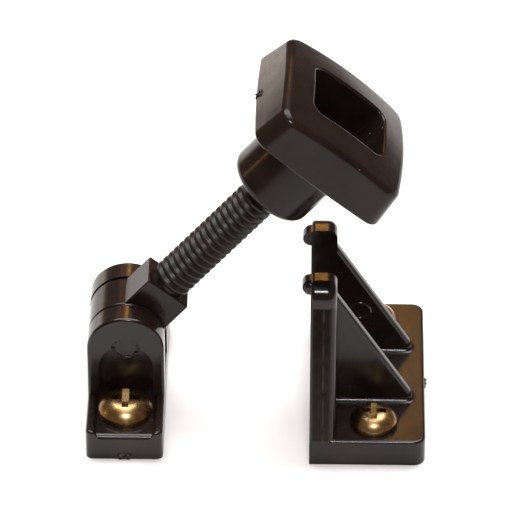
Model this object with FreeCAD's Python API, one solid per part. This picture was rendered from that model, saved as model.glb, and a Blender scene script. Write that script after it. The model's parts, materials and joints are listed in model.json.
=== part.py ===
"""Hatch fastener in moulded nylon: a hinge base with a swing bolt and clamp knob, and the horned keeper.

Millimetres, +Z up. The origin is on the mounting face, midway between the hinge base's two screws.
The hinge pin lies along Y, and the swing bolt stands in the X-Z plane, leaning towards the keeper at +X.
"""

import FreeCAD, Part
import math
import os

# ---- Hinge base ----
BASE_WIDTH = 13.2
BASE_LENGTH = 37.2
RAIL_HEIGHT = 5.7
TROUGH_FLOOR = 4.9
TROUGH_TOP_WIDTH = 10.8
TROUGH_FLOOR_WIDTH = 9.6
TROUGH_LIP_R = 0.9
BASE_CORNER_R = 1.2
EDGE_R = 0.5
LUG_OUTER_Y = 8.2
LUG_THICKNESS = 4.1
LUG_RADIUS = 6.6
PIVOT_HEIGHT = 15.45
SCOOP_WIDTH = 9.3
SCOOP_FACE_Y = 6.75
SCOOP_ARCH_Z = 11.8
BASE_SCREW_Y = 11.6

# ---- Hinge pin ----
PIN_RADIUS = 2.45
PIN_CLEARANCE = 0.05
PIN_HALF_LENGTH = 7.2
PIN_CHAMFER = 0.3

# ---- Swing bolt, measured along its own axis from the pivot ----
BOLT_ANGLE = 49.8
EYE_RADIUS = 6.55
EYE_HALF_WIDTH = 3.8
COLLAR_START = 2.0
COLLAR_END = 11.3
COLLAR_HALF_HEIGHT = 4.35
COLLAR_HALF_WIDTH = 3.5
STUD_RADIUS = 3.55
STUD_ROOT_RADIUS = 3.15
STUD_END = 44.2
STUD_TIP_CHAMFER = 0.6
THREAD_PITCH = 1.4
THREAD_CREST = 0.35
THREAD_RUNOUT = 0.6

# ---- Clamp knob and its thread insert ----
HUB_START = 37.5
HUB_RADIUS = 7.65
HUB_RIM_R = 1.5
HUB_ROOT_R = 0.8
BLOCK_START = 50.4
CROWN_TOP = 59.2
CROWN_RADIUS = 80.0
BLOCK_INNER = (26.6, 26.6)
BLOCK_OUTER = (24.4, 24.6)
BLOCK_BULGE = 0.5
BLOCK_CORNER_R = 3.0
BLOCK_EDGE_R = 1.4
POCKET_SIZE = (15.0, 13.0)
POCKET_FLOOR = 51.4
POCKET_CORNER_R = 2.2
POCKET_RIM_R = 0.4
KNOB_TURN = -2.0
INSERT_START = 39.5
INSERT_END = 50.0
INSERT_RADIUS = 5.4
INSERT_GAP = 0.05
BORE_END = 50.4
BORE_RADIUS = 3.75

# ---- Keeper ----
KEEPER_X = (31.6, 51.4)
KEEPER_HALF_LENGTH = 19.45
PLATE_HEIGHT = 5.0
PLATE_CORNER_R = 2.0
WALL_THICKNESS = 4.5
HORN_TOP = 30.85
HORN_INNER_Y = 5.9
HORN_OUTER_Y = 11.0
HORN_SHOULDER_DROP = 3.9
HORN_CROWN_R = 3.0
HORN_BACK_R = 1.6
HORN_FRONT_R = 0.7
SLOT_BOTTOM = 11.6
LIP_RADIUS = 1.45
LIP_OUTER_Y = 8.8
LIP_DROP = 0.25
LIP_ROUND_SHARE = 0.8
GUSSET_Y = (5.9, 8.0)
GUSSET_END_X = 48.9
GUSSET_TOP_Z = 27.2
GUSSET_END_Z = 6.5
GUSSET_EDGE_R = 0.7
FOOT_FILLET = 0.9
KEEPER_SCREW_X = 42.6
KEEPER_SCREW_Y = 14.1

# ---- Pan-head screws: head radius, head height, shank radius, length under the head ----
BASE_SCREW = (4.65, 2.9, 2.4, 19.0)
KEEPER_SCREW = (4.0, 2.6, 2.1, 19.0)
SCREW_POINT = 3.0
SCREW_NECK_SHARE = 0.82
HEAD_RIM_SHARE = 0.35
RECESS_ARM_SHARE = 0.62
RECESS_SLOT_SHARE = 0.13
RECESS_DEPTH_SHARE = 0.6
HOLE_GAP = 0.25

X_AXIS = FreeCAD.Vector(1, 0, 0)
Y_AXIS = FreeCAD.Vector(0, 1, 0)
Z_AXIS = FreeCAD.Vector(0, 0, 1)
ORIGIN = FreeCAD.Vector(0, 0, 0)
CLEAR = 1.0


def box(x, y, z):
    """A box from three (low, high) pairs."""
    corner = FreeCAD.Vector(x[0], y[0], z[0])
    return Part.makeBox(x[1] - x[0], y[1] - y[0], z[1] - z[0], corner)


def cylinder(radius, start, axis, length):
    return Part.makeCylinder(radius, length, FreeCAD.Vector(*start), axis)


def prism(points, direction):
    """A closed polygon pushed along a vector."""
    vectors = [FreeCAD.Vector(*p) for p in points]
    face = Part.Face(Part.makePolygon(vectors + vectors[:1]))
    return face.extrude(FreeCAD.Vector(*direction))


def revolve(profile, axis):
    """A solid from a list of (distance along axis, radius) turned about the X or Z axis."""
    if axis == X_AXIS:
        points = [FreeCAD.Vector(a, r, 0) for a, r in profile]
    else:
        points = [FreeCAD.Vector(r, 0, a) for a, r in profile]
    face = Part.Face(Part.makePolygon(points + points[:1]))
    return face.revolve(ORIGIN, axis, 360)


def edges_where(shape, test):
    """Edges whose middle point and direction pass a test."""
    found = []
    for edge in shape.Edges:
        middle = edge.valueAt((edge.FirstParameter + edge.LastParameter) / 2)
        if test(middle, edge):
            found.append(edge)
    return found


def is_along(edge, axis):
    """True for a straight edge parallel to an axis."""
    if not isinstance(edge.Curve, Part.Line):
        return False
    return abs(abs(edge.Curve.Direction.dot(axis)) - 1) < 1e-6


def mirrored_pair(shape):
    """A shape and its mirror image across the Y = 0 plane."""
    return shape, shape.mirror(ORIGIN, Y_AXIS)


def placed_on_bolt(shape):
    """Turns a shape drawn along +X from the pivot to the bolt's resting lean."""
    shape.rotate(ORIGIN, Y_AXIS, -BOLT_ANGLE)
    shape.translate(FreeCAD.Vector(0, 0, PIVOT_HEIGHT))
    return shape


# ---- Hinge base ----


def base_rail_block():
    """The foot: a low block with a shallow trough along its top for the screw heads."""
    half_x, half_y = BASE_WIDTH / 2, BASE_LENGTH / 2
    block = box((-half_x, half_x), (-half_y, half_y), (0, RAIL_HEIGHT))
    corners = edges_where(block, lambda p, e: is_along(e, Z_AXIS))
    block = block.makeFillet(BASE_CORNER_R, corners)
    rim = edges_where(block, lambda p, e: abs(p.z - RAIL_HEIGHT) < 0.01)
    block = block.makeFillet(EDGE_R, rim)
    top, floor = TROUGH_TOP_WIDTH / 2, TROUGH_FLOOR_WIDTH / 2
    section = [
        (-floor, -half_y - CLEAR, TROUGH_FLOOR),
        (floor, -half_y - CLEAR, TROUGH_FLOOR),
        (top, -half_y - CLEAR, RAIL_HEIGHT),
        (top, -half_y - CLEAR, RAIL_HEIGHT + CLEAR),
        (-top, -half_y - CLEAR, RAIL_HEIGHT + CLEAR),
        (-top, -half_y - CLEAR, RAIL_HEIGHT),
    ]
    reach = half_y + CLEAR - SCOOP_FACE_Y
    for trough in mirrored_pair(prism(section, (0, reach, 0))):
        block = block.cut(trough)
    lips = edges_where(
        block,
        lambda p, e: abs(p.z - TROUGH_FLOOR) < 0.01
        and abs(p.y) > half_y - 0.01
        and is_along(e, X_AXIS),
    )
    return block.makeFillet(TROUGH_LIP_R, lips)


def lug():
    """The front lug: an arch-topped ear with a scoop in its outer face beside the screw head."""
    y0 = -LUG_OUTER_Y
    half = LUG_RADIUS
    post = box((-half, half), (y0, y0 + LUG_THICKNESS), (0, PIVOT_HEIGHT))
    arch = cylinder(LUG_RADIUS, (0, y0, PIVOT_HEIGHT), Y_AXIS, LUG_THICKNESS)
    ear = post.fuse(arch).removeSplitter()
    outline = edges_where(ear, lambda p, e: abs(p.y - y0) < 0.01 and p.z > RAIL_HEIGHT)
    ear = ear.makeFillet(EDGE_R, outline)
    half = SCOOP_WIDTH / 2
    depth = LUG_OUTER_Y - SCOOP_FACE_Y
    scoop = box((-half, half), (y0, y0 + depth), (TROUGH_FLOOR, SCOOP_ARCH_Z))
    arch = cylinder(half, (0, y0, SCOOP_ARCH_Z), Y_AXIS, depth)
    scoop = scoop.fuse(arch).removeSplitter()
    return ear.cut(scoop)


def hinge_base():
    body = base_rail_block()
    for ear in mirrored_pair(lug()):
        body = body.fuse(ear)
    body = body.removeSplitter()
    length = 2 * (LUG_OUTER_Y + CLEAR)
    body = body.cut(
        cylinder(PIN_RADIUS + PIN_CLEARANCE, (0, -length / 2, PIVOT_HEIGHT), Y_AXIS, length)
    )
    shank = BASE_SCREW[2] + HOLE_GAP
    for y in (-BASE_SCREW_Y, BASE_SCREW_Y):
        body = body.cut(cylinder(shank, (0, y, -CLEAR), Z_AXIS, RAIL_HEIGHT + 2 * CLEAR))
    return body


def hinge_pin():
    pin = cylinder(PIN_RADIUS, (0, -PIN_HALF_LENGTH, PIVOT_HEIGHT), Y_AXIS, 2 * PIN_HALF_LENGTH)
    rims = edges_where(pin, lambda p, e: isinstance(e.Curve, Part.Circle))
    return pin.makeFillet(PIN_CHAMFER, rims)


# ---- Swing bolt ----


def stud():
    """The threaded rod, with its thread drawn as closed rings at the true pitch."""
    flank = (THREAD_PITCH - THREAD_CREST) / 2
    profile = [(COLLAR_END - CLEAR, 0), (COLLAR_END - CLEAR, STUD_ROOT_RADIUS)]
    turns = int((STUD_END - STUD_TIP_CHAMFER - COLLAR_END - THREAD_RUNOUT) / THREAD_PITCH)
    for turn in range(turns):
        start = COLLAR_END + THREAD_RUNOUT + turn * THREAD_PITCH
        profile.append((start, STUD_ROOT_RADIUS))
        profile.append((start + flank, STUD_RADIUS))
        profile.append((start + flank + THREAD_CREST, STUD_RADIUS))
    profile.append((start + THREAD_PITCH, STUD_ROOT_RADIUS))
    profile.append((STUD_END, STUD_ROOT_RADIUS))
    profile.append((STUD_END, 0))
    return revolve(profile, X_AXIS)


def swing_bolt():
    """One moulding: the eye on the hinge pin, the square collar and the threaded stud."""
    eye = cylinder(EYE_RADIUS, (0, -EYE_HALF_WIDTH, 0), Y_AXIS, 2 * EYE_HALF_WIDTH)
    rims = edges_where(eye, lambda p, e: isinstance(e.Curve, Part.Circle))
    eye = eye.makeFillet(EDGE_R, rims)
    collar = box(
        (COLLAR_START, COLLAR_END),
        (-COLLAR_HALF_WIDTH, COLLAR_HALF_WIDTH),
        (-COLLAR_HALF_HEIGHT, COLLAR_HALF_HEIGHT),
    )
    outer = edges_where(collar, lambda p, e: is_along(e, X_AXIS) or p.x > COLLAR_END - 0.1)
    collar = collar.makeFillet(EDGE_R / 2, outer)
    body = eye.fuse(collar).fuse(stud()).removeSplitter()
    length = 2 * (EYE_HALF_WIDTH + CLEAR)
    body = body.cut(cylinder(PIN_RADIUS + PIN_CLEARANCE, (0, -length / 2, 0), Y_AXIS, length))
    return placed_on_bolt(body)


# ---- Clamp knob ----


def bulged_outline(size, distance):
    """A four-sided wire across the bolt's axis, each side bowed out a little."""
    half_z, half_y = size[0] / 2, size[1] / 2
    corners = [(-half_y, -half_z), (half_y, -half_z), (half_y, half_z), (-half_y, half_z)]
    middles = [
        (0, -half_z - BLOCK_BULGE),
        (half_y + BLOCK_BULGE, 0),
        (0, half_z + BLOCK_BULGE),
        (-half_y - BLOCK_BULGE, 0),
    ]
    sides = []
    for index, middle in enumerate(middles):
        ends = [corners[index], corners[(index + 1) % 4]]
        points = [FreeCAD.Vector(distance, y, z) for y, z in (ends[0], middle, ends[1])]
        sides.append(Part.Arc(*points).toShape())
    return Part.Wire(sides)


def knob_block():
    """The finger block: tapered away from the hub, with a shallow domed end."""
    wires = [bulged_outline(BLOCK_INNER, BLOCK_START), bulged_outline(BLOCK_OUTER, CROWN_TOP)]
    block = Part.makeLoft(wires, True, True)
    corners = edges_where(
        block, lambda p, e: BLOCK_START + 0.1 < p.x < CROWN_TOP - 0.1 and abs(p.y) > 1 and abs(p.z) > 1
    )
    block = block.makeFillet(BLOCK_CORNER_R, corners)
    dome = Part.makeSphere(CROWN_RADIUS, FreeCAD.Vector(CROWN_TOP - CROWN_RADIUS, 0, 0))
    block = block.common(dome)
    rim = edges_where(block, lambda p, e: p.x > CROWN_TOP - 3.5 and math.hypot(p.y, p.z) > 5)
    rim = [e for e in rim if abs(e.Vertexes[0].Point.x - e.Vertexes[-1].Point.x) < 1.0]
    block = block.makeFillet(BLOCK_EDGE_R, rim)
    foot = edges_where(block, lambda p, e: p.x < BLOCK_START + 0.05)
    return block.makeFillet(EDGE_R, foot)


def knob_pocket():
    half_y, half_z = POCKET_SIZE[1] / 2, POCKET_SIZE[0] / 2
    pocket = box((POCKET_FLOOR, CROWN_TOP + CLEAR), (-half_y, half_y), (-half_z, half_z))
    sides = edges_where(pocket, lambda p, e: is_along(e, X_AXIS))
    pocket = pocket.makeFillet(POCKET_CORNER_R, sides)
    floor = edges_where(pocket, lambda p, e: p.x < POCKET_FLOOR + 0.01)
    return pocket.makeFillet(EDGE_R, floor)


def clamp_knob():
    """The block with its hub, bored from the hub's end for the stud and moulded round the insert."""
    hub = cylinder(HUB_RADIUS, (HUB_START, 0, 0), X_AXIS, BLOCK_START - HUB_START + CLEAR)
    rim = edges_where(hub, lambda p, e: abs(p.x - HUB_START) < 0.01)
    hub = hub.makeFillet(HUB_RIM_R, rim)
    body = knob_block().fuse(hub).removeSplitter()
    root = edges_where(
        body,
        lambda p, e: abs(p.x - BLOCK_START) < 0.05 and math.hypot(p.y, p.z) < HUB_RADIUS + 0.1,
    )
    body = body.makeFillet(HUB_ROOT_R, root)
    body = body.cut(knob_pocket())
    rim = edges_where(
        body,
        lambda p, e: p.x > CROWN_TOP - 2
        and max(abs(p.y) / POCKET_SIZE[1], abs(p.z) / POCKET_SIZE[0]) < 0.501,
    )
    body = body.makeFillet(POCKET_RIM_R, rim)
    seat_length = INSERT_END - INSERT_START + 2 * INSERT_GAP
    seat_start = (INSERT_START - INSERT_GAP, 0, 0)
    seat = cylinder(INSERT_RADIUS + INSERT_GAP, seat_start, X_AXIS, seat_length)
    bore = cylinder(BORE_RADIUS, (HUB_START, 0, 0), X_AXIS, BORE_END - HUB_START)
    body = body.cut(seat).cut(bore)
    body.rotate(ORIGIN, X_AXIS, KNOB_TURN)
    return placed_on_bolt(body)


def thread_insert():
    """The sleeve in the hub that runs on the stud; its bore is drawn at the crest of the thread."""
    sleeve = cylinder(INSERT_RADIUS, (INSERT_START, 0, 0), X_AXIS, INSERT_END - INSERT_START)
    bore = cylinder(STUD_RADIUS + PIN_CLEARANCE, (INSERT_START - CLEAR, 0, 0), X_AXIS, INSERT_END)
    return placed_on_bolt(sleeve.cut(bore))


# ---- Keeper ----


def keeper_plate():
    x0, x1 = KEEPER_X
    half = KEEPER_HALF_LENGTH
    plate = box((x0, x1), (-half, half), (0, PLATE_HEIGHT))
    corners = edges_where(plate, lambda p, e: is_along(e, Z_AXIS) and p.x > x1 - 0.1)
    plate = plate.makeFillet(PLATE_CORNER_R, corners)
    top = edges_where(plate, lambda p, e: abs(p.z - PLATE_HEIGHT) < 0.01 and p.x > x0 + 0.1)
    return plate.makeFillet(EDGE_R, top)


def keeper_wall():
    """The upright across the plate: two horns with sloping outer faces and a round-bottomed slot."""
    x0 = KEEPER_X[0]
    half = KEEPER_HALF_LENGTH
    outline = [
        (x0, -half, 0),
        (x0, half, 0),
        (x0, half, PLATE_HEIGHT),
        (x0, HORN_OUTER_Y, HORN_TOP - HORN_SHOULDER_DROP),
        (x0, HORN_OUTER_Y, HORN_TOP),
        (x0, -HORN_OUTER_Y, HORN_TOP),
        (x0, -HORN_OUTER_Y, HORN_TOP - HORN_SHOULDER_DROP),
        (x0, -half, PLATE_HEIGHT),
    ]
    wall = prism(outline, (WALL_THICKNESS, 0, 0))
    crowns = edges_where(wall, lambda p, e: is_along(e, X_AXIS) and p.z > HORN_TOP - 0.1)
    wall = wall.makeFillet(HORN_CROWN_R, crowns)
    for x, radius in ((x0 + WALL_THICKNESS, HORN_BACK_R), (x0, HORN_FRONT_R)):
        rim = edges_where(wall, lambda p, e: abs(p.x - x) < 0.01 and p.z > PLATE_HEIGHT + 0.1)
        wall = wall.makeFillet(radius, rim)
    slot_centre = SLOT_BOTTOM + HORN_INNER_Y
    slot = box(
        (x0 - CLEAR, x0 + WALL_THICKNESS + CLEAR),
        (-HORN_INNER_Y, HORN_INNER_Y),
        (slot_centre, HORN_TOP + CLEAR),
    )
    round_end = cylinder(
        HORN_INNER_Y, (x0 - CLEAR, 0, slot_centre), X_AXIS, WALL_THICKNESS + 2 * CLEAR
    )
    return wall.cut(slot.fuse(round_end).removeSplitter())


def keeper_lip():
    """The round bead along the front horn's top edge, which keeps the knob's hub from riding off."""
    z = HORN_TOP - LIP_DROP - LIP_RADIUS
    lip = cylinder(LIP_RADIUS, (KEEPER_X[0], -LIP_OUTER_Y, z), Y_AXIS, LIP_OUTER_Y - HORN_INNER_Y)
    rims = edges_where(lip, lambda p, e: isinstance(e.Curve, Part.Circle) and p.y < -HORN_INNER_Y - 0.1)
    return lip.makeFillet(LIP_RADIUS * LIP_ROUND_SHARE, rims)


def gusset():
    """The front gusset: a triangular web from the horn's back to the far end of the plate."""
    x0 = KEEPER_X[0] + WALL_THICKNESS - CLEAR
    slope = (GUSSET_TOP_Z - GUSSET_END_Z) / (GUSSET_END_X - x0 - CLEAR)
    outline = [
        (x0, -GUSSET_Y[1], PLATE_HEIGHT - CLEAR),
        (GUSSET_END_X, -GUSSET_Y[1], PLATE_HEIGHT - CLEAR),
        (GUSSET_END_X, -GUSSET_Y[1], GUSSET_END_Z),
        (x0, -GUSSET_Y[1], GUSSET_TOP_Z + CLEAR * slope),
    ]
    web = prism(outline, (0, GUSSET_Y[1] - GUSSET_Y[0], 0))
    back = KEEPER_X[0] + WALL_THICKNESS
    edges = edges_where(
        web, lambda p, e: p.z > PLATE_HEIGHT + 0.1 and p.x > back and not is_along(e, Y_AXIS)
    )
    return web.makeFillet(GUSSET_EDGE_R, edges)


def horn_keeper():
    body = keeper_plate().fuse(keeper_wall())
    for web in mirrored_pair(gusset()):
        body = body.fuse(web)
    for lip in mirrored_pair(keeper_lip()):
        body = body.fuse(lip)
    body = body.removeSplitter()
    foot = edges_where(
        body,
        lambda p, e: abs(p.z - PLATE_HEIGHT) < 0.01
        and abs(abs(p.y) - GUSSET_Y[1]) < 0.01
        and is_along(e, X_AXIS),
    )
    body = body.makeFillet(FOOT_FILLET, foot)
    shank = KEEPER_SCREW[2] + HOLE_GAP
    for y in (-KEEPER_SCREW_Y, KEEPER_SCREW_Y):
        hole = cylinder(shank, (KEEPER_SCREW_X, y, -CLEAR), Z_AXIS, PLATE_HEIGHT + 2 * CLEAR)
        body = body.cut(hole)
    return body


# ---- Screws ----


def cross_recess(radius, height):
    """A cross-shaped driver recess that narrows as it goes down from the crown of the head."""
    arm, slot = radius * RECESS_ARM_SHARE, radius * RECESS_SLOT_SHARE
    bottom = height * (1 - RECESS_DEPTH_SHARE)
    wires = []
    for z, share in ((height + CLEAR, 1.15), (bottom, 0.4)):
        a = arm * share
        corners = [(-a, -slot), (a, -slot), (a, slot), (-a, slot)]
        points = [FreeCAD.Vector(x, y, z) for x, y in corners]
        wires.append(Part.makePolygon(points + points[:1]))
    bar = Part.makeLoft(wires, True, True)
    across = bar.copy()
    across.rotate(ORIGIN, Z_AXIS, 90)
    return bar.fuse(across)


def pan_screw(size, seat):
    """A pan-head self-tapping screw seated at a point; its neck is thinner down to the mounting face."""
    radius, height, shank, length = size
    rim = height * HEAD_RIM_SHARE
    points = [FreeCAD.Vector(r, 0, z) for r, z in ((0, 0), (radius, 0), (radius, rim))]
    crown = Part.Arc(
        FreeCAD.Vector(radius, 0, rim),
        FreeCAD.Vector(radius * 0.72, 0, height * 0.84),
        FreeCAD.Vector(0, 0, height),
    ).toShape()
    sides = [
        Part.makeLine(points[0], points[1]),
        Part.makeLine(points[1], points[2]),
        crown,
        Part.makeLine(FreeCAD.Vector(0, 0, height), points[0]),
    ]
    head = Part.Face(Part.Wire(sides)).revolve(ORIGIN, Z_AXIS, 360)
    head = head.cut(cross_recess(radius, height))
    neck_length = seat[2]
    neck = cylinder(shank * SCREW_NECK_SHARE, (0, 0, -neck_length), Z_AXIS, neck_length)
    rod_length = length - SCREW_POINT - neck_length
    rod = cylinder(shank, (0, 0, SCREW_POINT - length), Z_AXIS, rod_length)
    point = Part.makeCone(shank * 0.1, shank, SCREW_POINT, FreeCAD.Vector(0, 0, -length))
    screw = head.fuse(neck).fuse(rod).fuse(point).removeSplitter()
    screw.translate(FreeCAD.Vector(*seat))
    return screw


def build_parts():
    keeper_seats = [(KEEPER_SCREW_X, y, PLATE_HEIGHT) for y in (-KEEPER_SCREW_Y, KEEPER_SCREW_Y)]
    return {
        "hinge_base": hinge_base(),
        "hinge_pin": hinge_pin(),
        "swing_bolt": swing_bolt(),
        "thread_insert": thread_insert(),
        "clamp_knob": clamp_knob(),
        "base_screw_front": pan_screw(BASE_SCREW, (0, -BASE_SCREW_Y, TROUGH_FLOOR)),
        "base_screw_rear": pan_screw(BASE_SCREW, (0, BASE_SCREW_Y, TROUGH_FLOOR)),
        "horn_keeper": horn_keeper(),
        "keeper_screw_front": pan_screw(KEEPER_SCREW, keeper_seats[0]),
        "keeper_screw_rear": pan_screw(KEEPER_SCREW, keeper_seats[1]),
    }


os.makedirs("parts", exist_ok=True)
for name, shape in build_parts().items():
    solid = shape.Solids[0]
    solid.exportStep(f"parts/{name}.step")
    print(name, "solids", len(shape.Solids), "valid", solid.isValid(), "volume", round(solid.Volume, 1))
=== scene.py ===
"""Looks of the hatch fastener: moulded black nylon, stainless screws and studio light.

Lengths are in metres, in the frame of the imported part. Small moulding marks are added as meshes.
"""

import json
import math

import bmesh
import bpy
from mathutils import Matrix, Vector


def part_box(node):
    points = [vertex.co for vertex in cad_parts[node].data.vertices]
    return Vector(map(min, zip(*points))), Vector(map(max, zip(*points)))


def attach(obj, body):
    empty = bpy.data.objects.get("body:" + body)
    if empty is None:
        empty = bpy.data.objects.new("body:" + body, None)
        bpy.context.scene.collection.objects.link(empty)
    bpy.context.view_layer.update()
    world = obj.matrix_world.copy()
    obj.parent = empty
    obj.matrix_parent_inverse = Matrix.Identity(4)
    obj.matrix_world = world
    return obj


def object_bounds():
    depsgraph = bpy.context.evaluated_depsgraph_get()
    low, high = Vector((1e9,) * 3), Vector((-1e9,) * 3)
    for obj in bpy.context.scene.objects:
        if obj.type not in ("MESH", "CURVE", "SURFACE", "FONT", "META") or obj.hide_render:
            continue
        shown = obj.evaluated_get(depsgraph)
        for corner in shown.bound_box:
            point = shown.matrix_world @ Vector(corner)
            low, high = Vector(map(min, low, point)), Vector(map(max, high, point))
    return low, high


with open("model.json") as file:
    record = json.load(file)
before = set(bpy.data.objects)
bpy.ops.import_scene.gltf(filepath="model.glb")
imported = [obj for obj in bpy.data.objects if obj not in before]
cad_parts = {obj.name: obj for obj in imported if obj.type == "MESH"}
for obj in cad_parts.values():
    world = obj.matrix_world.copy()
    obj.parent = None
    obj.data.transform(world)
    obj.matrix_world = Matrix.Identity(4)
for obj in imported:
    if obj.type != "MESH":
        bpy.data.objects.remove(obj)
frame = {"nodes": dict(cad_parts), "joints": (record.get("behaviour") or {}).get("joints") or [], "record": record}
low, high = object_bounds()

MM = 0.001

# ---- Camera: a long lens, looking down at the front ----
CAMERA_ELEVATION = 37.15
CAMERA_AZIMUTH = 1.0
CAMERA_DISTANCE = 0.8094
CAMERA_LENS = 328.2
SENSOR_WIDTH = 36.0
AIM_FROM_PIVOT = Vector((22.33, 7.0, 8.72)) * MM

# ---- Colours, linear ----
NYLON_DARK = (0.0060, 0.0040, 0.0036, 1)
NYLON_BROWN = (0.0190, 0.0098, 0.0070, 1)
DUST = (0.20, 0.18, 0.16, 1)
STEEL_PALE = (0.38, 0.25, 0.115, 1)
STEEL_STRAW = (0.22, 0.13, 0.050, 1)
BRASS_BRIGHT = (0.78, 0.60, 0.30, 1)
BRASS_DULL = (0.52, 0.36, 0.16, 1)
FLOOR_COLOUR = (0.91, 0.885, 0.865, 1)

# ---- Finish of each moulding: how strongly it mirrors, and the thread's wear ----
SPECULAR = 0.33
KNOB_SPECULAR = 0.20
BOLT_SPECULAR = 0.24
THREAD_START = 11.3 * MM
THREAD_FADE = 0.4 * MM
THREAD_ROUGHER = 0.16

# ---- Patterns: noise scales in cells a metre, and the noise values between which they change ----
MIDDLE = (0.3, 0.7)
UPPER = (0.35, 0.7)
MOTTLE_SCALE = 130
CLOUD_SCALE = 38
CLOUD_LEAST = 0.3
SPECK_SCALE = 520
SPECK_RIM = (0.05, 0.08)
DUSTY_SCALE = 95
DUSTY_RIM = (0.60, 0.66)
FINE_SCALE = 900
WAVE_SCALE = 160
GRAIN_SCALE = 2600
STEEL_PATCH_SCALE = 420
STEEL_SCUFF_SCALE = 1500
STEEL_GRAIN_SCALE = 2400
BRASS_PATCH_SCALE = 500
PAPER_SCALE = 700

# ---- Roughness, least and most, and bumps as strength and height ----
NYLON_ROUGHNESS = (0.12, 0.22)
HANDLED_ROUGHER = 0.06
STEEL_ROUGHNESS = (0.24, 0.36)
BRASS_ROUGHNESS = (0.20, 0.42)
PAPER_ROUGHNESS = 0.9
WAVE_BUMP = (0.12, 0.0004)
GRAIN_BUMP = (0.08, 0.00008)
STEEL_BUMP = (0.05, 0.0001)
PAPER_BUMP = (0.04, 0.0001)

# ---- Light: name, place from the object's middle, size, watts and colour ----
WORLD_COLOUR = (0.50, 0.36, 0.28, 1)
WORLD_STRENGTH = 0.40
LIGHTS = (
    ("rear_box", (0, 0.45, 1.15), (1.3, 0.7), 25, (0.95, 0.97, 1)),
    ("top_box", (0, -0.05, 1.5), (0.7, 0.5), 5, (1, 1, 1)),
    ("camera_box", (0.03, -0.62, 0.84), (0.22, 0.08), 5.5, (0.92, 0.95, 1)),
    ("warm_card", (-0.02, 0.80, 0.56), (0.60, 0.20), 0.30, (1, 0.42, 0.16)),
    ("warm_lamp", (-0.02, 0.80, 0.60), (0.10, 0.05), 0.22, (1, 0.50, 0.10)),
    ("left_card", (-0.30, 0.40, 0.02), (0.22, 0.09), 0.13, (1, 0.84, 0.74)),
    ("left_lamp", (-0.90, 0.06, 0.24), (0.04, 0.12), 0.20, (1, 0.52, 0.14)),
)

# ---- Moulding marks, sizes from the same drawing as the parts they sit on ----
GATE_DEPTH = 0.6 * MM
GATE_SINK = 0.1 * MM
BASE_GATE = (2.4 * MM, 1.1 * MM)
KEEPER_GATE = (1.8 * MM, 1.2 * MM)
KNOB_GATE = (1.7 * MM, 1.5 * MM)
KNOB_GATE_ALONG = 51.3 * MM
KNOB_GATE_OUT = 13.6 * MM
SEAM_WIDTH = 0.30 * MM
SEAM_HEIGHT = 0.10 * MM
SEAM_STEPS = 60
SEAM_PROFILE = ((-0.5, -0.3), (-0.2, 0.8), (0, 1.0), (0.2, 0.8), (0.5, -0.3))
SEAM_INSET = 3.7 * MM
SLOPE_TOP_Y = 11.0 * MM
SLOPE_TOP_Z = 26.95 * MM
PLATE_TOP = 5.0 * MM
MARK_RADIUS = 1.6 * MM
MARK_WIRE = 0.42 * MM
MARK_FROM_END = 11.2 * MM
MARK_HEIGHT = 13.7 * MM
WEB_INNER_Y = 5.9 * MM
FLASH_WIRE = 0.24 * MM
FLASH_RAGGED = 0.8
RING_AROUND = 64
RING_THROUGH = 10
FLOOR_HALF_WIDTH = 4


# ---- Node helpers ----


class Graph:
    """A material's node tree with short ways to add and join nodes."""

    def __init__(self, name):
        self.material = bpy.data.materials.new(name)
        self.material.use_nodes = True
        self.tree = self.material.node_tree
        self.shader = self.tree.nodes["Principled BSDF"]
        self.place = self.add("ShaderNodeTexCoord").outputs["Object"]

    def add(self, kind, **settings):
        node = self.tree.nodes.new(kind)
        for key, value in settings.items():
            setattr(node, key, value)
        return node

    def join(self, start, end):
        self.tree.links.new(start, end)

    def noise(self, scale, detail=4.0, roughness=0.55):
        node = self.add("ShaderNodeTexNoise")
        self.join(self.place, node.inputs["Vector"])
        node.inputs["Scale"].default_value = scale
        node.inputs["Detail"].default_value = detail
        node.inputs["Roughness"].default_value = roughness
        return node.outputs["Fac"]

    def cells(self, scale):
        node = self.add("ShaderNodeTexVoronoi")
        self.join(self.place, node.inputs["Vector"])
        node.inputs["Scale"].default_value = scale
        return node.outputs["Distance"]

    def along(self, axis):
        """Distance from the origin along an axis of the object, in metres."""
        node = self.add("ShaderNodeVectorMath", operation="DOT_PRODUCT")
        self.join(self.place, node.inputs[0])
        node.inputs[1].default_value = axis
        return node.outputs["Value"]

    def spread(self, source, between, to):
        """Maps one range of values to another, held at both ends."""
        node = self.add("ShaderNodeMapRange")
        self.join(source, node.inputs["Value"])
        node.inputs["From Min"].default_value, node.inputs["From Max"].default_value = between
        node.inputs["To Min"].default_value, node.inputs["To Max"].default_value = to
        return node.outputs["Result"]

    def maths(self, operation, first, second):
        node = self.add("ShaderNodeMath", operation=operation)
        self.join(first, node.inputs[0])
        self.join(second, node.inputs[1])
        return node.outputs[0]

    def blend(self, share, first, second):
        node = self.add("ShaderNodeMix", data_type="RGBA")
        self.join(share, next(socket for socket in node.inputs if socket.type == "VALUE"))
        colours = [socket for socket in node.inputs if socket.type == "RGBA"]
        for socket, value in zip(colours, (first, second)):
            if isinstance(value, tuple):
                socket.default_value = value
            else:
                self.join(value, socket)
        return next(socket for socket in node.outputs if socket.type == "RGBA")

    def bump(self, height, size, below=None):
        """A bump of a strength and a height in metres, on top of the one below."""
        node = self.add("ShaderNodeBump")
        node.inputs["Strength"].default_value, node.inputs["Distance"].default_value = size
        self.join(height, node.inputs["Height"])
        if below:
            self.join(below, node.inputs["Normal"])
        return node.outputs["Normal"]


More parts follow.
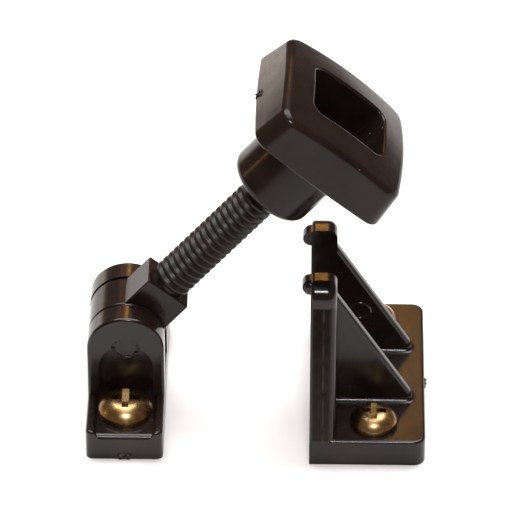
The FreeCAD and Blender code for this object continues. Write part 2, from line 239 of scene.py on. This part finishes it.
def nylon(name, specular, thread=None):
    """Black nylon off a polished tool: brownish mottling, faint sink waviness and fine specks.

    A thread, given as its axis and its start along it, is matt from use.
    """
    graph = Graph(name)
    mottle = graph.noise(MOTTLE_SCALE, detail=5)
    cloud = graph.noise(CLOUD_SCALE, detail=2)
    strong = graph.spread(mottle, MIDDLE, (0, 1))
    share = graph.maths("MULTIPLY", strong, graph.spread(cloud, MIDDLE, (CLOUD_LEAST, 1)))
    resin = graph.blend(share, NYLON_DARK, NYLON_BROWN)
    speck = graph.spread(graph.cells(SPECK_SCALE), SPECK_RIM, (1, 0))
    patches = graph.spread(graph.noise(DUSTY_SCALE, detail=1), DUSTY_RIM, (0, 1))
    dusty = graph.maths("MULTIPLY", speck, patches)
    graph.join(graph.blend(dusty, resin, DUST), graph.shader.inputs["Base Color"])
    handled = graph.spread(cloud, UPPER, (0, HANDLED_ROUGHER))
    fine = graph.spread(graph.noise(FINE_SCALE, detail=3), MIDDLE, NYLON_ROUGHNESS)
    roughness = graph.maths("ADD", handled, fine)
    if thread:
        axis, start = thread
        worn = graph.spread(graph.along(axis), (start, start + THREAD_FADE), (0, THREAD_ROUGHER))
        roughness = graph.maths("ADD", roughness, worn)
    graph.join(roughness, graph.shader.inputs["Roughness"])
    waves = graph.bump(graph.noise(WAVE_SCALE, detail=1), WAVE_BUMP)
    grain = graph.bump(graph.noise(GRAIN_SCALE, detail=3), GRAIN_BUMP, waves)
    graph.join(grain, graph.shader.inputs["Normal"])
    graph.shader.inputs["Specular IOR Level"].default_value = specular
    return graph.material


def steel():
    """Satin stainless with a straw tint in patches and light scuffs."""
    graph = Graph("stainless_polished")
    patch = graph.spread(graph.noise(STEEL_PATCH_SCALE, detail=3), MIDDLE, (0, 1))
    graph.join(graph.blend(patch, STEEL_PALE, STEEL_STRAW), graph.shader.inputs["Base Color"])
    graph.shader.inputs["Metallic"].default_value = 1.0
    scuff = graph.noise(STEEL_SCUFF_SCALE, detail=5, roughness=0.7)
    graph.join(graph.spread(scuff, UPPER, STEEL_ROUGHNESS), graph.shader.inputs["Roughness"])
    grain = graph.bump(graph.noise(STEEL_GRAIN_SCALE, detail=4), STEEL_BUMP)
    graph.join(grain, graph.shader.inputs["Normal"])
    return graph.material


def brass():
    """Turned brass, dulled in random patches."""
    graph = Graph("brass_turned")
    patch = graph.spread(graph.noise(BRASS_PATCH_SCALE, detail=4), MIDDLE, (0, 1))
    graph.join(graph.blend(patch, BRASS_BRIGHT, BRASS_DULL), graph.shader.inputs["Base Color"])
    graph.shader.inputs["Metallic"].default_value = 1.0
    graph.join(graph.spread(patch, (0, 1), BRASS_ROUGHNESS), graph.shader.inputs["Roughness"])
    return graph.material


def floor_paper():
    """Matt pale backdrop paper."""
    graph = Graph("floor_paper")
    graph.shader.inputs["Base Color"].default_value = FLOOR_COLOUR
    graph.shader.inputs["Roughness"].default_value = PAPER_ROUGHNESS
    graph.join(graph.bump(graph.noise(PAPER_SCALE), PAPER_BUMP), graph.shader.inputs["Normal"])
    return graph.material


# ---- Mesh helpers ----


def finished(name, mesh_builder, material, body):
    """A smooth-shaded object from a bmesh, with its material, riding on a body."""
    mesh = bpy.data.meshes.new(name)
    mesh_builder.normal_update()
    mesh_builder.to_mesh(mesh)
    mesh_builder.free()
    piece = bpy.data.objects.new(name, mesh)
    bpy.context.scene.collection.objects.link(piece)
    mesh.materials.append(material)
    for face in mesh.polygons:
        face.use_smooth = True
    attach(piece, body)
    return piece


def frame_of(outward, up):
    """Side, up and outward unit directions for something that sits on a face."""
    outward = outward.normalized()
    side = up.cross(outward).normalized()
    return side, outward.cross(side), outward


def gate_nub(name, place, outward, up, size, body, material):
    """The stub left where the runner was snapped off: a small block, torn and rounded."""
    side, up, outward = frame_of(outward, up)
    width, height = size
    made = bmesh.new()
    bmesh.ops.create_grid(made, x_segments=12, y_segments=10, size=1)
    for vertex in made.verts:
        u, v = vertex.co.x, vertex.co.y
        fall = max(0.0, 1 - max(abs(u), abs(v)) ** 6)
        torn = 0.7 + 0.3 * math.sin(5.1 * u + 2.0) * math.cos(4.3 * v + 0.7)
        rise = GATE_DEPTH * fall * torn - GATE_SINK
        vertex.co = place + side * u * width / 2 + up * v * height / 2 + outward * rise
    return finished(name, made, material, body)


def seam(name, start, end, outward, body, material):
    """A parting line: a fine ridge from start to end, low where the tool closed well."""
    along = (end - start).normalized()
    side, _, outward = frame_of(outward, along)
    made = bmesh.new()
    rows = []
    for step in range(SEAM_STEPS + 1):
        share = step / SEAM_STEPS
        middle = start.lerp(end, share)
        height = SEAM_HEIGHT * (0.55 + 0.45 * math.sin(37 * share) * math.sin(11 * share + 1))
        row = []
        for across, rise in SEAM_PROFILE:
            row.append(made.verts.new(middle + side * across * SEAM_WIDTH + outward * rise * height))
        rows.append(row)
    for first, second in zip(rows, rows[1:]):
        for index in range(len(first) - 1):
            made.faces.new((first[index], first[index + 1], second[index + 1], second[index]))
    return finished(name, made, material, body)


def ring(name, centre, normal, radius, wire, ragged, body, material):
    """A fine raised ring on a face; ragged is how far its thickness varies, from 0 to 1."""
    side, up, normal = frame_of(normal, Vector((0, 0, 1)))
    made = bmesh.new()
    rows = []
    for step in range(RING_AROUND):
        turn = 2 * math.pi * step / RING_AROUND
        spoke = side * math.cos(turn) + up * math.sin(turn)
        thick = wire * (1 + ragged * math.sin(5 * turn + 1) * math.sin(13 * turn))
        row = []
        for index in range(RING_THROUGH):
            angle = 2 * math.pi * index / RING_THROUGH
            reach = radius + thick * math.cos(angle)
            row.append(made.verts.new(centre + spoke * reach + normal * thick * math.sin(angle)))
        rows.append(row)
    for step in range(RING_AROUND):
        first, second = rows[step], rows[(step + 1) % RING_AROUND]
        for index in range(RING_THROUGH):
            after = (index + 1) % RING_THROUGH
            made.faces.new((first[index], second[index], second[after], first[after]))
    return finished(name, made, material, body)


# ---- Scene ----


def bolt_axis():
    """The direction of the swing bolt at rest, away from its pivot."""
    travel = next(joint for joint in frame["joints"] if joint["name"] == "knob_travel")
    return Vector(travel["axis"]).normalized()


def pivot():
    low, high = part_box("hinge_pin")
    return (low + high) / 2


def paint_nodes(slots, special):
    """Each CAD node takes the material of its slot in the record, or its own finish of it."""
    for part in frame["record"]["subparts"]:
        mesh = frame["nodes"][part["node"]].data
        mesh.materials.clear()
        mesh.materials.append(special.get(part["node"], slots[part["material_slot"]]))


def gates(material):
    """Snapped-off gates on the foot's front, the keeper's end and the knob's edge."""
    z_up, y_up = Vector((0, 0, 1)), Vector((0, 1, 0))
    low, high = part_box("hinge_base")
    place = Vector(((low.x + high.x) / 2, low.y, low.z + BASE_GATE[1] / 2))
    gate_nub("base_gate", place, -y_up, z_up, BASE_GATE, "mounting", material)
    low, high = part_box("horn_keeper")
    place = Vector((high.x, (low.y + high.y) / 2, low.z + PLATE_TOP / 2))
    gate_nub("keeper_gate", place, Vector((1, 0, 0)), z_up, KEEPER_GATE, "mounting", material)
    along = bolt_axis()
    out = along.cross(y_up)
    place = pivot() + along * KNOB_GATE_ALONG + out * math.copysign(KNOB_GATE_OUT, out.z)
    gate_nub("knob_gate", place, out * math.copysign(1, out.z), y_up, KNOB_GATE, "knob", material)


def seams_and_rings(material):
    """Parting lines down the keeper's slopes, a plain ring on its gusset and flash round the pin."""
    low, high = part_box("horn_keeper")
    for name, side in (("front", -1), ("rear", 1)):
        start = Vector((low.x + SEAM_INSET, side * SLOPE_TOP_Y, SLOPE_TOP_Z))
        end = Vector((low.x + SEAM_INSET, side * high.y, PLATE_TOP))
        run = end - start
        outward = Vector((0, -run.z, run.y)) * side
        seam(f"keeper_seam_{name}", start, end, outward, "mounting", material)
    centre = Vector((high.x - MARK_FROM_END, WEB_INNER_Y, MARK_HEIGHT))
    ring("web_mark", centre, Vector((0, -1, 0)), MARK_RADIUS, MARK_WIRE, 0, "mounting", material)
    low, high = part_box("hinge_pin")
    radius = (high.x - low.x) / 2 - FLASH_WIRE
    for side, y, outward in (("front", low.y, -1), ("rear", high.y, 1)):
        name = f"pin_flash_{side}"
        centre = Vector(((low.x + high.x) / 2, y, (low.z + high.z) / 2))
        normal = Vector((0, outward, 0))
        ring(name, centre, normal, radius, FLASH_WIRE, FLASH_RAGGED, "mounting", material)


def soft_light(name, place, aim, size, power, colour):
    light = bpy.data.lights.new(name, "AREA")
    light.shape = "RECTANGLE"
    light.size, light.size_y = size
    light.energy = power
    light.color = colour
    lamp = bpy.data.objects.new(name, light)
    lamp.location = place
    lamp.rotation_euler = (aim - place).to_track_quat("-Z", "Y").to_euler()
    bpy.context.scene.collection.objects.link(lamp)


def studio(middle):
    """A dim warm world and the soft lights, all aimed at the object's middle."""
    world = bpy.data.worlds.new("studio")
    world.use_nodes = True
    background = world.node_tree.nodes["Background"]
    background.inputs["Color"].default_value = WORLD_COLOUR
    background.inputs["Strength"].default_value = WORLD_STRENGTH
    bpy.context.scene.world = world
    for name, offset, size, power, colour in LIGHTS:
        place = middle + Vector(offset)
        soft_light(name, place, middle, size, power, colour)


def pale_floor(material):
    made = bmesh.new()
    bmesh.ops.create_grid(made, x_segments=1, y_segments=1, size=FLOOR_HALF_WIDTH)
    mesh = bpy.data.meshes.new("floor")
    made.to_mesh(mesh)
    made.free()
    floor = bpy.data.objects.new("floor", mesh)
    mesh.materials.append(material)
    bpy.context.scene.collection.objects.link(floor)


def show_plain_colours():
    """Whites stay white and blacks black, as from a plain camera."""
    bpy.context.scene.view_settings.view_transform = "Standard"


def camera():
    target = pivot() + AIM_FROM_PIVOT
    azimuth, elevation = math.radians(CAMERA_AZIMUTH), math.radians(CAMERA_ELEVATION)
    back = Vector(
        (
            math.sin(azimuth) * math.cos(elevation),
            -math.cos(azimuth) * math.cos(elevation),
            math.sin(elevation),
        )
    )
    data = bpy.data.cameras.new("camera")
    data.lens = CAMERA_LENS
    data.sensor_width = SENSOR_WIDTH
    eye = bpy.data.objects.new("camera", data)
    eye.location = target + back * CAMERA_DISTANCE
    eye.rotation_euler = (-back).to_track_quat("-Z", "Y").to_euler()
    bpy.context.scene.collection.objects.link(eye)
    bpy.context.scene.camera = eye


black_nylon = nylon("black_nylon_moulded", SPECULAR)
thread = (bolt_axis(), pivot().dot(bolt_axis()) + THREAD_START)
paint_nodes(
    {"black_nylon": black_nylon, "stainless": steel(), "brass": brass()},
    {
        "swing_bolt": nylon("black_nylon_bolt", BOLT_SPECULAR, thread),
        "clamp_knob": nylon("black_nylon_knob", KNOB_SPECULAR),
    },
)
gates(black_nylon)
seams_and_rings(black_nylon)
pale_floor(floor_paper())
studio((low + high) / 2)
show_plain_colours()
camera()
